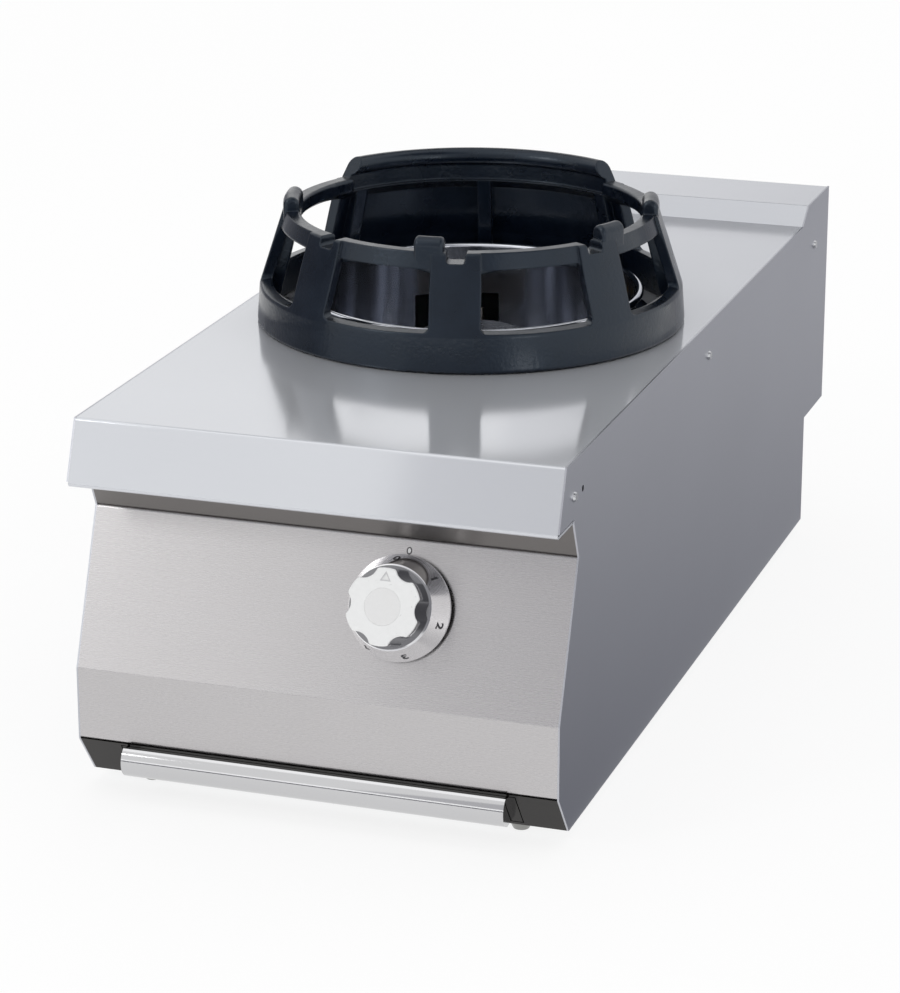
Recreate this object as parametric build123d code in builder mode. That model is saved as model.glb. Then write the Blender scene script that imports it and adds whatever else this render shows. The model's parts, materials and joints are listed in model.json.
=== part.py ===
"""Counter-top gas wok range: one burner well under a cast-iron wok ring, on a folded steel cabinet.

Millimetres, +Z up, front towards -Y, +X to the right of someone facing the front.
The origin is on the floor, under the middle of the whole range.
"""

import os
from math import asin, atan2, cos, degrees, radians, sin, sqrt, tan

from build123d import *

os.makedirs("parts", exist_ok=True)

# ---------------------------------------------------------------------------
# Driving dimensions
# ---------------------------------------------------------------------------

# Cabinet
width = 400.0  # over both side panels
top_depth = 880.0  # worktop front edge to the back of the upstand
body_height = 300.0  # lower edge of the sides to the worktop
foot_stand = 10.0  # floor to the lower edge of the sides
sheet = 1.5  # side, front, bottom and back panels
worktop_sheet = 2.0
fold_radius = 3.0  # outside of every fold

# Front, as depths behind the worktop's front edge and heights over the lower edge
apron_drop = 51.3
apron_lean = 19.8
apron_return = 40.0
apron_slit = 4.4  # lower edge of the apron to the sides over its end
panel_setback = 34.5
panel_drop = 81.6
panel_reach = 12.0
fold_height = 96.3
kick_height = 36.0
kick_setback = 27.2
front_flange = 20.0

# Rear
recess_depth = 77.0
recess_height = 103.5
upstand_rise = 15.5
upstand_top = 85.0
upstand_slope = 22.0
vent_count = 9
vent_pitch = 34.0
vent_height = 60.0
vent_drop = 60.0  # worktop to their middle
vent_width = 6.0

# Wok ring
ring_setback = 379.25  # its axis behind the worktop's front edge
ring_base_radius = 182.7
ring_band_height = 30.0
ring_draft = 2.2  # how far the base band leans in
ring_height = 95.0
ring_rim_radius = 159.5
ring_rim_inner = 145.0
ring_rim_depth = 11.0
ring_wall = 9.4
rim_inset = 2.6  # rim between the posts, in from their faces
ring_pitch = 45.0
ring_phase = 13.8  # angle of the first post from +X
window_sill = 35.5
window_head = 80.5
window_sill_width = 92.0
window_head_width = 83.5
window_taper = 6.0
window_corner = 2.5
closed_bays = (1, 2)  # the two bays at the back have no window
rib_width = 12.0
rib_depth = 5.5
toe_width = 16.0
toe_height = 10.0
toe_lift = 2.5  # clear of the well's flange
notch_depth = 8.0
notch_centres = (283.7, 327.2, 240.6)
notch_width = 15.5
notch_flare = 2.0
notch_corner = 3.0
lug_rise = 12.0
lug_arcs = ((271.0, 9.1), (330.8, 10.0), (8.0, 14.0), (188.0, 17.0))
lug_width = 14.0
lug_corner = 3.2
back_rise = 17.0
back_start = 56.0
back_arc = 97.5
back_width = 15.0
back_ramp = 12.0  # run of the slope at each end

# Burner well
well_radius = 142.0  # outside of its wall
well_wall = 1.5
well_rim_height = 24.0  # bead centre over the worktop
well_bead = 3.5
well_depth = 100.0  # worktop to the well's floor
well_flange = 14.0
well_neck_radius = 28.5
well_neck_height = 11.0
port_start = 98.0
port_arc = 31.0
port_drop = 18.0  # below the worktop
port_lift = 36.0  # over the well's floor
drain_radius = 8.0
drain_offset = 80.0
drain_length = 15.0

# Burner
burner_foot_radius = 35.0
burner_foot = 6.0
burner_neck = 22.0
burner_bore = 14.0
burner_cup_radius = 46.0
burner_cup_floor = 25.0  # cup floor over the well floor
burner_cup_height = 37.0
burner_cup_wall = 4.0
crown_height = 14.0
crown_wall = 15.0
crown_spigot = 6.0
port_count = 24
port_width = 3.0
port_depth = 6.0
cap_rise = 7.5
cap_overhang = 3.0
bolt_circle = 28.0
bolt_radius = 3.0
bolt_count = 4

# Bridge, mixing tube and injector
bridge_drop = 56.0  # below the well's floor
bridge_width = 74.0
bridge_flange = 22.0
mixer_drop = 32.0  # axis below the well's floor
mixer_length = 118.0
mixer_throat = 10.0
mixer_mouth = 18.0
mixer_wall = 3.0
mixer_flange = 25.0
injector_radius = 7.0
injector_length = 24.0
injector_gap = 12.0
injector_strap = 2.0
holder_length = 22.0
feed_radius = 5.0

# Knob and valve, on the sloping control panel
knob_x = 64.0
knob_drop = 54.4  # knob axis below the panel's top edge, along the slope
skirt_gap = 5.0
skirt_radius = 41.5
skirt_edge = 2.5
skirt_height = 23.6
skirt_top_radius = 33.4
grip_radius = 30.0
grip_height = 19.2
grip_foot = 3.0
grip_inset = 1.2  # its round foot inside the skirt's top edge
scallop_radius = 11.5
scallop_offset = 37.0
grip_edge = 2.5
lobe_count = 6
face_plate = 1.4
disc_radius = 14.4
disc_depth = 1.0
pointer_size = 5.0
pointer_depth = 0.4
push_travel = 4.0
spindle_radius = 4.0
bush_radius = 8.0
bush_rim = 2.0
bracket_gap = 14.0
bracket_width = 76.0
bracket_length = 60.0
valve_radius = 15.0
valve_length = 44.0
plug_radius = 8.0
plug_length = 26.0
boss_radius = 10.0
boss_length = 28.0
boss_depth = 26.0  # boss axis behind the valve's front face
magnet_radius = 8.0
magnet_length = 26.0

# Gas pipes
supply_radius = 8.0
supply_bore = 6.5
supply_inset = 50.0  # inside the right side
supply_height = 60.0
supply_bend = 22.0
union_hex = 13.0
union_hex_length = 9.0
union_thread_radius = 10.48
union_thread_length = 22.0
union_inner_radius = 10.0
union_inner_length = 18.0
pilot_pipe_radius = 2.0
pilot_inset = 40.0  # inside the left side
lead_radius = 1.3
lead_inset = 28.0
small_bend = 12.0
clamp_setback = 560.0
clamp_width = 16.0

# Pilot set
pilot_radius = 4.5
pilot_height = 40.0
pilot_angle = 115.0
probe_radius = 3.0
probe_height = 44.0
probe_angle = 105.0
pilot_offset = 10.0  # pilot axis outside the well wall
shelf_depth = 22.0

# Drip tray
opening_inset = 35.5  # tray's opening inside the sides
opening_sill = 2.8
opening_head = 33.7
front_gap = 0.8
tray_inset = 14.0  # tray's walls inside the feet's axes
tray_length = 600.0
tray_setback = 17.5
tray_height = 22.0
tray_wall = 1.2
tray_lip = 5.0
tray_corner = 10.0
handle_inset = 5.5  # pull's ends inside the opening
handle_top = 34.7
handle_top_setback = -18.0
handle_nose = 24.5
handle_nose_setback = -24.0
handle_foot = 9.5
handle_foot_setback = -12.5
handle_end = 2.0
runner_foot = 14.0
runner_height = 20.0

# Feet and screws
foot_inset = 44.0
foot_setback = 33.0
foot_head_radius = 9.0
foot_tip_radius = 6.5
foot_thread = 5.0
foot_above = 14.0
foot_nut = 8.5
foot_nut_height = 8.0
screw_drop = 29.0  # below the worktop
screw_front_setback = 20.4
screw_middle_setback = 421.7
screw_rear_inset = 56.2  # from the back
screw_head = 4.2
screw_rise = 1.8
screw_shank = 2.0
screw_length = 9.0
link_hole = 2.6
link_setback = 42.2
rail_height = 43.0
rail_flange = 20.0

# Clearances
seat_gap = 0.3  # loose pieces over their seats
run_gap = 0.08  # shafts in their bores
slide_gap = 0.5  # tray beside its runners
pass_gap = 0.4  # screws and pipes through holes in sheet

# ---------------------------------------------------------------------------
# Places worked out from them
# ---------------------------------------------------------------------------

bottom_z = foot_stand
worktop_z = bottom_z + body_height
inner_half = width / 2 - sheet
foot_x = width / 2 - foot_inset
supply_x = width / 2 - supply_inset
tray_half = foot_x - tray_inset
tray_opening = width / 2 - opening_inset
handle_half = tray_opening - handle_inset
screw_height = body_height - screw_drop
screw_setbacks = (screw_front_setback, screw_middle_setback, top_depth - screw_rear_inset)

panel_top_height = body_height - panel_drop
apron_height = body_height - apron_drop
strip_setback = apron_return - apron_lean + pass_gap
panel_slope = atan2(panel_setback + panel_reach, panel_top_height - fold_height)
knob_setback = panel_setback - knob_drop * sin(panel_slope)
knob_height = panel_top_height - knob_drop * cos(panel_slope)
knob_reach = skirt_gap + skirt_height + grip_height
front_overhang = knob_reach * cos(panel_slope) + grip_radius * sin(panel_slope) - knob_setback

front_y = -(top_depth - front_overhang) / 2
rear_y = front_y + top_depth
recess_y = rear_y - recess_depth
upstand_foot_y = rear_y - upstand_top - upstand_slope
ring_y = front_y + ring_setback

ring_axis = Axis((0, ring_y, 0), (0, 0, 1))
ring_seat_z = worktop_z + seat_gap
rim_z = ring_seat_z + ring_height

knob_plane = Plane(
    origin=(knob_x, front_y + knob_setback, bottom_z + knob_height),
    x_dir=(1, 0, 0),
    z_dir=(0, -cos(panel_slope), sin(panel_slope)),
)


def at(setback, height):
    """A point of a side view, from a depth behind the worktop's edge and a height over the sides."""
    return (front_y + setback, bottom_z + height)


def kick_setback_at(height):
    """Depth of the kick panel's outer face at a height."""
    return kick_setback * (1 - height / kick_height) - panel_reach


def radial_plane(angle, middle_y=ring_y):
    """Upright plane through the ring's axis: its x runs outwards at the angle, its y runs up."""
    out = (cos(radians(angle)), sin(radians(angle)), 0)
    across = (sin(radians(angle)), -cos(radians(angle)), 0)
    return Plane(origin=(0, middle_y, 0), x_dir=out, z_dir=across)


def facing_plane(angle, distance):
    """Upright plane square to a radius of the ring: its x runs along the wall, its y runs up."""
    out = Vector(cos(radians(angle)), sin(radians(angle)), 0)
    along = (-sin(radians(angle)), cos(radians(angle)), 0)
    origin = Vector(0, ring_y, 0) + out * distance
    return Plane(origin=origin, x_dir=along, z_dir=out)


def folded(points, side, thickness=sheet, radius=fold_radius):
    """Section of a sheet folded along a line of points, with its thickness on one side of the line."""
    with BuildSketch() as section:
        with BuildLine():
            FilletPolyline(*points, radius=radius)
            offset(amount=thickness, side=side)
        make_face()
    return section.sketch


def pipe(points, outer, bend, bore=0.0):
    """A tube or rod along straight runs joined by arcs."""
    with BuildPart() as tube:
        with BuildLine():
            FilletPolyline(*points, radius=bend)
        with BuildSketch(Plane(origin=points[0], z_dir=Vector(points[1]) - Vector(points[0]))):
            Circle(outer)
            if bore:
                Circle(bore, mode=Mode.SUBTRACT)
        sweep()
    return tube.part


# ---------------------------------------------------------------------------
# Side panels: one flat outline each, from the apron's end to the rear pipe recess
# ---------------------------------------------------------------------------

slit_height = apron_height + apron_slit
side_outline = (
    at(0, body_height),
    (upstand_foot_y, worktop_z),
    (upstand_foot_y + upstand_slope, worktop_z + upstand_rise),
    (rear_y, worktop_z + upstand_rise),
    (rear_y, bottom_z + recess_height),
    (recess_y, bottom_z + recess_height),
    (recess_y, bottom_z),
    at(kick_setback_at(0), 0),
    at(-panel_reach, kick_height),
    at(-panel_reach, fold_height),
    at(panel_setback, panel_top_height),
    at(strip_setback, apron_height),
    at(strip_setback, slit_height),
    at(-apron_lean * (body_height - slit_height) / apron_drop, slit_height),
)
for name, x_low in (("side_panel_left", -width / 2), ("side_panel_right", inner_half)):
    with BuildPart() as side_panel:
        with BuildSketch(Plane.YZ.offset(x_low)):
            with BuildLine():
                Polyline(*side_outline, close=True)
            make_face()
            with Locations(*[at(setback, screw_height) for setback in screw_setbacks]):
                Circle(screw_shank + pass_gap, mode=Mode.SUBTRACT)
            with Locations(at(link_setback, screw_height)):
                Circle(link_hole, mode=Mode.SUBTRACT)
        extrude(amount=sheet)
    side_panel.part.label = name
    export_step(side_panel.part, f"parts/{name}.step")

# ---------------------------------------------------------------------------
# Worktop with its leaning apron, and the upstand at the back
# ---------------------------------------------------------------------------

worktop_line = (
    (upstand_foot_y + upstand_slope, worktop_z),
    at(0, body_height),
    at(-apron_lean, apron_height),
    at(apron_return - apron_lean, apron_height),
)
with BuildPart() as worktop:
    with BuildSketch(Plane.YZ):
        add(folded(worktop_line, Side.LEFT, worktop_sheet))
    extrude(amount=inner_half, both=True)
    with BuildSketch(Plane.XY.offset(worktop_z - worktop_sheet)):
        with Locations((0, ring_y)):
            Circle(well_radius + pass_gap)
    extrude(amount=worktop_sheet, mode=Mode.SUBTRACT)
worktop.part.label = "worktop"
export_step(worktop.part, "parts/worktop.step")

upstand_line = (
    (upstand_foot_y - upstand_slope, worktop_z - upstand_rise),
    (upstand_foot_y + upstand_slope, worktop_z + upstand_rise),
    (rear_y, worktop_z + upstand_rise),
    (rear_y, worktop_z - upstand_rise),
)
with BuildPart() as upstand:
    with BuildSketch(Plane.YZ):
        add(folded(upstand_line, Side.RIGHT))
    extrude(amount=inner_half, both=True)
    split(bisect_by=Plane.XY.offset(worktop_z), keep=Keep.TOP)
upstand.part.label = "rear_upstand"
export_step(upstand.part, "parts/rear_upstand.step")

# Rails under the worktop's edges, which the side screws go into
for name, hand in (("top_rail_left", -1), ("top_rail_right", 1)):
    rail_line = (
        (hand * inner_half, worktop_z - worktop_sheet - rail_height),
        (hand * inner_half, worktop_z - worktop_sheet),
        (hand * (inner_half - rail_flange), worktop_z - worktop_sheet),
    )
    with BuildPart() as top_rail:
        with BuildSketch(Plane.XZ.offset(-front_y - worktop_sheet)):
            add(folded(rail_line, Side.LEFT if hand > 0 else Side.RIGHT))
        extrude(amount=-(top_depth - front_flange - worktop_sheet))
        with BuildSketch(Plane.YZ.offset(hand * inner_half)):
            with Locations(*[at(setback, screw_height) for setback in screw_setbacks]):
                Circle(screw_shank + pass_gap)
            with Locations(at(link_setback, screw_height)):
                Circle(link_hole)
        extrude(amount=-hand * sheet, mode=Mode.SUBTRACT)
    top_rail.part.label = name
    export_step(top_rail.part, f"parts/{name}.step")

# ---------------------------------------------------------------------------
# Front: crossbar behind the apron, control panel and kick panel
# ---------------------------------------------------------------------------

crossbar_top = body_height - worktop_sheet - sheet
crossbar_line = (
    at(panel_setback + front_flange, panel_top_height),
    at(panel_setback, panel_top_height),
    at(strip_setback, apron_height),
    at(strip_setback, crossbar_top),
    at(strip_setback + front_flange, crossbar_top),
)
with BuildPart() as crossbar:
    with BuildSketch(Plane.YZ):
        add(folded(crossbar_line, Side.RIGHT))
    extrude(amount=inner_half, both=True)
    with BuildSketch(Plane.XY.offset(worktop_z - worktop_sheet)):
        with Locations((inner_half, front_y + strip_setback), (-inner_half, front_y + strip_setback)):
            Rectangle(2 * (screw_length - sheet + pass_gap), 4 * front_flange)
    extrude(amount=-(rail_height + pass_gap), mode=Mode.SUBTRACT)
crossbar.part.label = "front_crossbar"
export_step(crossbar.part, "parts/front_crossbar.step")

panel_line = (
    at(panel_setback + front_flange, panel_top_height),
    at(panel_setback, panel_top_height),
    at(-panel_reach, fold_height),
    at(-panel_reach, kick_height),
    at(front_flange - panel_reach, kick_height),
)
with BuildPart() as control_panel:
    with BuildSketch(Plane.YZ):
        add(folded(panel_line, Side.LEFT))
    extrude(amount=inner_half, both=True)
    with BuildSketch(knob_plane):
        Circle(bush_radius)
    extrude(amount=-2 * sheet, mode=Mode.SUBTRACT)
control_panel.part.label = "control_panel"
export_step(control_panel.part, "parts/control_panel.step")

kick_face = (
    at(kick_setback_at(kick_height), kick_height),
    at(kick_setback_at(0), 0),
)
kick_run = sheet * sqrt(kick_height**2 + kick_setback**2) / kick_height
kick_outline = (
    kick_face[0],
    kick_face[1],
    (kick_face[1][0] + kick_run, kick_face[1][1]),
    (kick_face[0][0] + kick_run, kick_face[0][1]),
)
with BuildPart() as kick_panel:
    with BuildSketch(Plane.YZ):
        with BuildLine():
            Polyline(*kick_outline, close=True)
        make_face()
    extrude(amount=inner_half, both=True)
    with BuildSketch(Plane.XZ.offset(-kick_face[0][0] + kick_setback)):
        with BuildLine():
            Polyline(
                (-tray_opening, bottom_z + opening_sill),
                (tray_opening, bottom_z + opening_sill),
                (tray_opening, bottom_z + opening_head),
                (-tray_opening, bottom_z + opening_head),
                close=True,
            )
        make_face()
    extrude(amount=-3 * kick_setback, mode=Mode.SUBTRACT)
kick_panel.part.label = "kick_panel"
export_step(kick_panel.part, "parts/kick_panel.step")

# ---------------------------------------------------------------------------
# Bottom and back
# ---------------------------------------------------------------------------

bottom_front_y = kick_face[1][0] + kick_run
bottom_line = (
    (-inner_half, bottom_z + front_flange),
    (-inner_half, bottom_z),
    (inner_half, bottom_z),
    (inner_half, bottom_z + front_flange),
)
foot_rows = (front_y + foot_setback, recess_y - foot_setback)
foot_spots = [(side * foot_x, row_y) for side in (-1, 1) for row_y in foot_rows]
with BuildPart() as bottom_panel:
    with BuildSketch(Plane.XZ.offset(-bottom_front_y)):
        add(folded(bottom_line, Side.LEFT))
    extrude(amount=-(recess_y - sheet - bottom_front_y))
    with BuildSketch(Plane.XY.offset(bottom_z)):
        with Locations(*foot_spots):
            Circle(foot_thread + run_gap)
        with Locations((0, ring_y)):
            with GridLocations(tray_half / 3, tray_half, 5, 2):
                SlotOverall(tray_half / 3 + vent_width, vent_width, rotation=90)
    extrude(amount=sheet, mode=Mode.SUBTRACT)
bottom_panel.part.label = "bottom_panel"
export_step(bottom_panel.part, "parts/bottom_panel.step")

back_line = (
    (recess_y, bottom_z),
    (recess_y, bottom_z + recess_height),
    (rear_y, bottom_z + recess_height),
    (rear_y, worktop_z),
    (rear_y - front_flange, worktop_z),
)
with BuildPart() as back_panel:
    with BuildSketch(Plane.YZ):
        add(folded(back_line, Side.LEFT))
    extrude(amount=inner_half, both=True)
    with BuildSketch(Plane.XZ.offset(-rear_y)):
        with Locations((0, worktop_z - vent_drop)):
            with GridLocations(vent_pitch, vent_height, vent_count, 1):
                SlotOverall(vent_height, vent_width, rotation=90)
    extrude(amount=2 * sheet, mode=Mode.SUBTRACT)
    with BuildSketch(Plane.XZ.offset(-recess_y)):
        with Locations((supply_x, bottom_z + supply_height)):
            Circle(union_inner_radius + pass_gap)
    extrude(amount=2 * sheet, mode=Mode.SUBTRACT)
back_panel.part.label = "back_panel"
export_step(back_panel.part, "parts/back_panel.step")

# ---------------------------------------------------------------------------
# Cast-iron wok ring: a drafted base band, a cone cut by windows between ribbed posts, a rim with
# lugs and notches, and a raised rolled rim over the closed bays at the back
# ---------------------------------------------------------------------------

band_radius = ring_base_radius - ring_draft
cone_slope = (band_radius - ring_rim_radius) / (ring_height - ring_band_height)


def cone_radius(height):
    """Outer radius of the ring at a height over its base, above the band."""
    return band_radius - cone_slope * (height - ring_band_height)


lip_height = ring_height - ring_rim_depth
lip_foot = lip_height - (cone_radius(lip_height) - ring_wall - ring_rim_inner)
ring_section = (
    (ring_base_radius, ring_seat_z),
    (band_radius, ring_seat_z + ring_band_height),
    (ring_rim_radius, rim_z),
    (ring_rim_inner, rim_z),
    (ring_rim_inner, ring_seat_z + lip_height),
    (cone_radius(lip_foot) - ring_wall, ring_seat_z + lip_foot),
    (band_radius - ring_wall, ring_seat_z + ring_band_height),
    (ring_base_radius - ring_wall, ring_seat_z),
)
bay_half_width = window_head_width / 2 + tan(radians(window_taper)) * (
    cone_radius(window_head) - ring_rim_inner - ring_wall / 2
)
bay_arc = 2 * degrees(asin(bay_half_width / cone_radius(window_head)))
bay_foot = (window_sill + window_head) / 2
bay_line = (
    (cone_radius(bay_foot) - rim_inset, ring_seat_z + bay_foot),
    (cone_radius(bay_foot) + rim_inset, ring_seat_z + bay_foot),
    (ring_rim_radius + rim_inset, rim_z),
    (ring_rim_radius + rim_inset, rim_z + rim_inset),
    (ring_rim_radius - rim_inset, rim_z + rim_inset),
    (ring_rim_radius - rim_inset, rim_z),
)
post_angles = [ring_phase + ring_pitch * index for index in range(8)]
rib_line = (
    (band_radius - ring_wall + 1, ring_seat_z + toe_height),
    (band_radius - ring_wall - rib_depth, ring_seat_z + toe_height),
    (ring_rim_inner + 1, ring_seat_z + lip_height),
    (ring_rim_inner + ring_wall, ring_seat_z + lip_height),
    (band_radius - ring_wall + 1, ring_seat_z + ring_band_height),
)


def hump(width_across, rise, web):
    """Radial section of a rounded bead that a web of the given thickness carries over the rim."""
    bead_height = rim_z + rise - width_across / 2
    web_foot = rim_z - ring_rim_depth
    with BuildSketch() as section:
        with Locations((ring_rim_radius - web / 2, (bead_height + web_foot) / 2)):
            Rectangle(web, bead_height - web_foot)
        with Locations((ring_rim_radius - width_across / 2, bead_height)):
            Circle(width_across / 2)
    return section.sketch


with BuildPart() as wok_ring:
    with BuildSketch(radial_plane(0)) as section:
        with BuildLine():
            Polyline(*ring_section, close=True)
        make_face()
        fillet(section.vertices(), radius=ring_rim_depth / 4)
    revolve(axis=ring_axis)
    for angle in post_angles:
        with BuildSketch(radial_plane(angle)):
            with BuildLine():
                Polyline(*rib_line, close=True)
            make_face()
        extrude(amount=rib_width / 2, both=True)
    for angle in post_angles[::2]:
        with BuildSketch(facing_plane(angle, well_radius + well_bead + 3)):
            with Locations((0, ring_seat_z + (toe_lift + toe_height) / 2)):
                Rectangle(toe_width, toe_height - toe_lift)
        extrude(amount=ring_base_radius - ring_wall / 2 - well_radius - well_bead - 3)
    for bay, angle in enumerate(post_angles):
        if bay in closed_bays:
            continue
        with BuildSketch(radial_plane(angle + (ring_pitch - bay_arc) / 2)):
            with BuildLine():
                Polyline(*bay_line, close=True)
            make_face()
        revolve(axis=ring_axis, revolution_arc=bay_arc, mode=Mode.SUBTRACT)
    for arc_start, arc in lug_arcs:
        with BuildPart(mode=Mode.ADD) as lug:
            with BuildSketch(radial_plane(arc_start)):
                add(hump(lug_width, lug_rise, lug_width))
            revolve(axis=ring_axis, revolution_arc=arc)
            ends = [edge for edge in lug.edges().filter_by(GeomType.CIRCLE) if edge.radius < lug_width]
            fillet(ends, radius=lug_corner)
    with BuildSketch(radial_plane(back_start)):
        with Locations((ring_rim_inner, rim_z)):
            Rectangle(2 * (ring_rim_radius - ring_wall - ring_rim_inner), 2 * ring_rim_depth)
    revolve(axis=ring_axis, revolution_arc=back_arc, mode=Mode.SUBTRACT)
    with BuildSketch(radial_plane(back_start)):
        add(hump(back_width, back_rise, ring_wall))
    revolve(axis=ring_axis, revolution_arc=back_arc)
    for angle, run in ((back_start, back_ramp), (back_start + back_arc, -back_ramp)):
        with BuildSketch(facing_plane(angle, ring_rim_inner - back_width)):
            with BuildLine():
                Polyline(
                    (-run, rim_z),
                    (0, rim_z),
                    (run, rim_z + back_rise),
                    (run, rim_z + 2 * back_rise),
                    (-run, rim_z + 2 * back_rise),
                    close=True,
                )
            make_face()
        extrude(amount=3 * back_width, mode=Mode.SUBTRACT)
    for bay, angle in enumerate(post_angles):
        if bay in closed_bays:
            continue
        with BuildSketch(facing_plane(angle + ring_pitch / 2, ring_rim_inner + ring_wall / 2)) as window:
            with BuildLine():
                Polyline(
                    (-window_sill_width / 2, ring_seat_z + window_sill),
                    (window_sill_width / 2, ring_seat_z + window_sill),
                    (window_head_width / 2, ring_seat_z + window_head),
                    (-window_head_width / 2, ring_seat_z + window_head),
                    close=True,
                )
            make_face()
            fillet(window.vertices(), radius=window_corner)
        extrude(amount=ring_base_radius - ring_rim_inner, taper=-window_taper, mode=Mode.SUBTRACT)
    for angle in notch_centres:
        with BuildSketch(facing_plane(angle, ring_rim_inner - ring_wall)) as notch:
            with BuildLine():
                Polyline(
                    (-notch_width / 2 - notch_flare, rim_z + notch_flare),
                    (-notch_width / 2, rim_z - notch_flare),
                    (-notch_width / 2, rim_z - notch_depth),
                    (notch_width / 2, rim_z - notch_depth),
                    (notch_width / 2, rim_z - notch_flare),
                    (notch_width / 2 + notch_flare, rim_z + notch_flare),
                    close=True,
                )
            make_face()
            fillet(notch.vertices().sort_by(Axis.Y)[:4], radius=notch_corner)
        extrude(amount=3 * ring_wall, mode=Mode.SUBTRACT)
wok_ring.part.label = "wok_ring"
export_step(wok_ring.part, "parts/wok_ring.step")

# ---------------------------------------------------------------------------
# Burner well: a deep stainless cup hung in the worktop, with a rolled bead, a pilot port and a drain
# ---------------------------------------------------------------------------

well_floor_z = worktop_z - well_depth
port_top_z = worktop_z - port_drop
port_foot_z = well_floor_z + port_lift
bead_z = worktop_z + well_rim_height
drain_spot = (drain_offset, ring_y)
with BuildPart() as burner_well:
    with BuildSketch(radial_plane(0)):
        with BuildLine():
            Polyline(
                (well_neck_radius - well_wall, well_floor_z),
                (well_radius, well_floor_z),
                (well_radius, worktop_z),
                (well_radius + well_flange, worktop_z),
                (well_radius + well_flange, worktop_z + well_wall),
                (well_radius, worktop_z + well_wall),
                (well_radius, bead_z),
                (well_radius - well_wall, bead_z),
                (well_radius - well_wall, well_floor_z + well_wall),
                (well_neck_radius, well_floor_z + well_wall),
                (well_neck_radius, well_floor_z + well_neck_height),
                (well_neck_radius - well_wall, well_floor_z + well_neck_height),
                close=True,
            )
        make_face()
        with Locations((well_radius - well_wall + well_bead, bead_z)):
            Circle(well_bead)
    revolve(axis=ring_axis)
    with BuildSketch(radial_plane(port_start)):
        with Locations((well_radius - well_wall / 2, (port_top_z + port_foot_z) / 2)):
            Rectangle(4 * well_wall, port_top_z - port_foot_z)
    revolve(axis=ring_axis, revolution_arc=port_arc, mode=Mode.SUBTRACT)
    with BuildSketch(Plane.XY.offset(well_floor_z - drain_length)):
        with Locations(drain_spot):
            Circle(drain_radius + well_wall)
    extrude(amount=drain_length)
    with Locations(Location((*drain_spot, well_floor_z))):
        Hole(drain_radius)
burner_well.part.label = "burner_well"
export_step(burner_well.part, "parts/burner_well.step")

# ---------------------------------------------------------------------------
# Burner: bridge, cast body, mixing tube, brass crown and cap
# ---------------------------------------------------------------------------

bridge_z = well_floor_z - bridge_drop
bridge_line = (
    (ring_y - bridge_width / 2, bridge_z - bridge_flange),
    (ring_y - bridge_width / 2, bridge_z),
    (ring_y + bridge_width / 2, bridge_z),
    (ring_y + bridge_width / 2, bridge_z - bridge_flange),
)
with BuildPart() as bridge:
    with BuildSketch(Plane.YZ):
        add(folded(bridge_line, Side.RIGHT))
    extrude(amount=inner_half, both=True)
    with BuildSketch(Plane.XY.offset(bridge_z - sheet)):
        with Locations((0, ring_y)):
            with PolarLocations(bolt_circle, bolt_count, start_angle=45):
                Circle(bolt_radius + pass_gap)
    extrude(amount=sheet, mode=Mode.SUBTRACT)
bridge.part.label = "burner_bridge"
export_step(bridge.part, "parts/burner_bridge.step")

cup_floor_z = well_floor_z + burner_cup_floor
cup_top_z = cup_floor_z + burner_cup_height
mixer_z = well_floor_z - mixer_drop
inlet_face_y = ring_y - burner_foot_radius - burner_foot
with BuildPart() as burner_body:
    with BuildSketch(radial_plane(0)):
        with BuildLine():
            Polyline(
                (0, bridge_z),
                (burner_foot_radius, bridge_z),
                (burner_foot_radius, bridge_z + burner_foot),
                (burner_neck, bridge_z + burner_foot),
                (burner_neck, cup_floor_z),
                (burner_cup_radius, cup_floor_z + burner_cup_height / 2),
                (burner_cup_radius, cup_top_z),
                (burner_cup_radius - burner_cup_wall, cup_top_z),
                (burner_cup_radius - burner_cup_wall, cup_floor_z + burner_cup_height / 2),
                (burner_bore, cup_floor_z + burner_cup_wall),
                (burner_bore, bridge_z + burner_foot),
                (0, bridge_z + burner_foot),
                close=True,
            )
        make_face()
    revolve(axis=ring_axis)
    with BuildSketch(Plane.XZ.offset(-ring_y + burner_bore)):
        with Locations((0, mixer_z)):
            Circle(burner_bore + mixer_wall)
    extrude(amount=ring_y - burner_bore - inlet_face_y)
    with BuildSketch(Plane.XZ.offset(-ring_y)):
        with Locations((0, mixer_z)):
            Circle(mixer_throat + mixer_wall + run_gap)
    extrude(amount=ring_y - inlet_face_y, mode=Mode.SUBTRACT)
    with BuildSketch(Plane.XY.offset(bridge_z)):
        with Locations((0, ring_y)):
            with PolarLocations(bolt_circle, bolt_count, start_angle=45):
                Circle(bolt_radius + run_gap)
    extrude(amount=burner_foot, mode=Mode.SUBTRACT)
burner_body.part.label = "burner_body"
export_step(burner_body.part, "parts/burner_body.step")

with BuildPart() as burner_bolts:
    with BuildSketch(Plane.XY.offset(bridge_z + burner_foot)):
        with Locations((0, ring_y)):
            with PolarLocations(bolt_circle, bolt_count, start_angle=45):
                RegularPolygon(bolt_radius * 1.7, 6)
    extrude(amount=bolt_radius)
    with BuildSketch(Plane.XY.offset(bridge_z - sheet - bolt_radius)):
        with Locations((0, ring_y)):
            with PolarLocations(bolt_circle, bolt_count, start_angle=45):
                Circle(bolt_radius)
    extrude(amount=bolt_radius + sheet + burner_foot)
burner_bolts.part.label = "burner_bolts"
export_step(burner_bolts.part, "parts/burner_bolts.step")

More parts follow.
